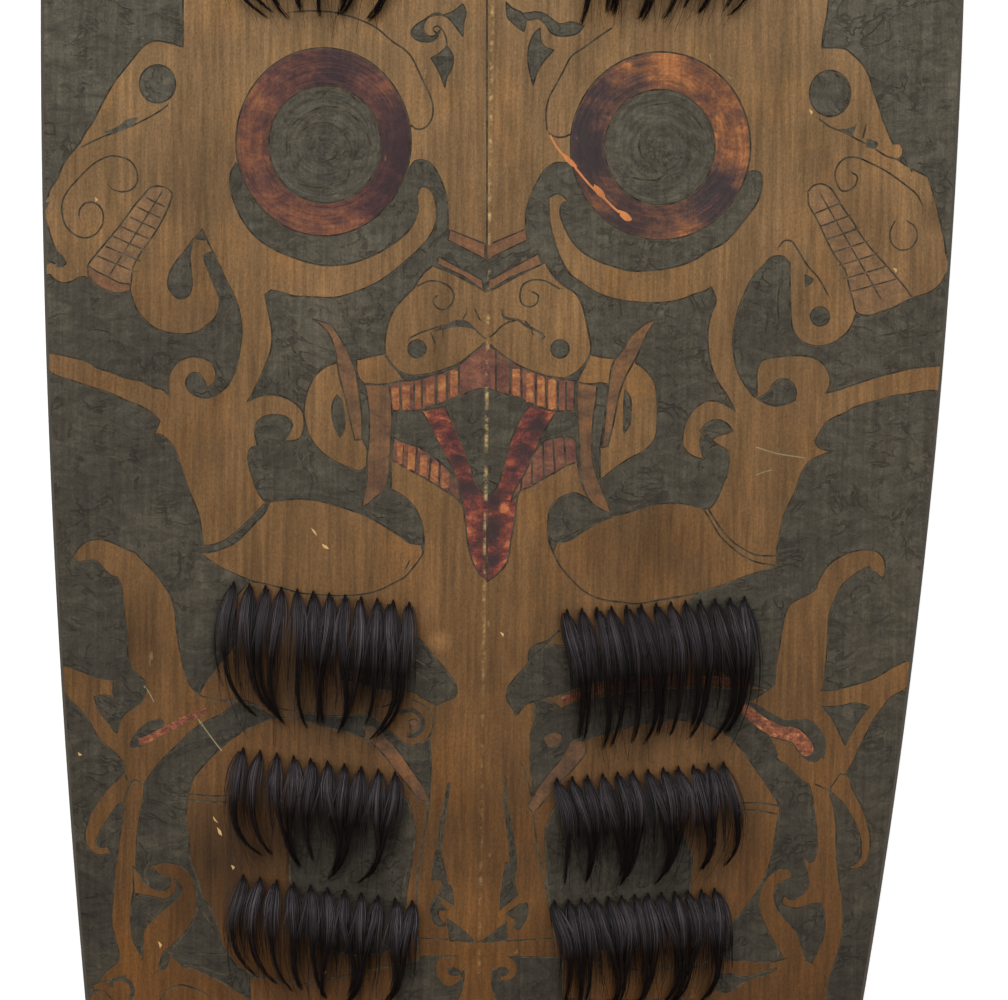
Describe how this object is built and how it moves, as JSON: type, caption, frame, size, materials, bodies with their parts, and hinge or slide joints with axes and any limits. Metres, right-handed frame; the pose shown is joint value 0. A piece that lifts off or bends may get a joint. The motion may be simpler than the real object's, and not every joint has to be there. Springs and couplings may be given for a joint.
{
  "type": "dayak shield",
  "caption": "Long pointed wooden shield with a ridged face, a carved grip in its hollow back, rows of hair locks and laced cane bands.",
  "frame": {"origin": "on the ground under the middle of the lying shield's box", "axes": "+X across the shield, +Y along it towards its head, +Z out of its painted face"},
  "size_m": [0.4614, 1.26, 0.0724],
  "materials": {
    "painted_wood": "aged paint on softwood",
    "hair": "black-brown hair",
    "rattan": "split cane"
  },
  "bodies": {
    "root": {"shield_board": "painted_wood", "hair_row_brow_left": "hair", "hair_row_brow_right": "hair", "hair_row_jaw_left": "hair", "hair_row_jaw_right": "hair", "hair_row_breast_left": "hair", "hair_row_breast_right": "hair", "hair_row_belly_left": "hair", "hair_row_belly_right": "hair", "head_band_front_cane": "rattan", "head_band_back_cane": "rattan", "head_band_lacing": "rattan", "foot_band_front_cane": "rattan", "foot_band_back_cane": "rattan", "foot_band_lacing": "rattan"}
  },
  "joints": []
}
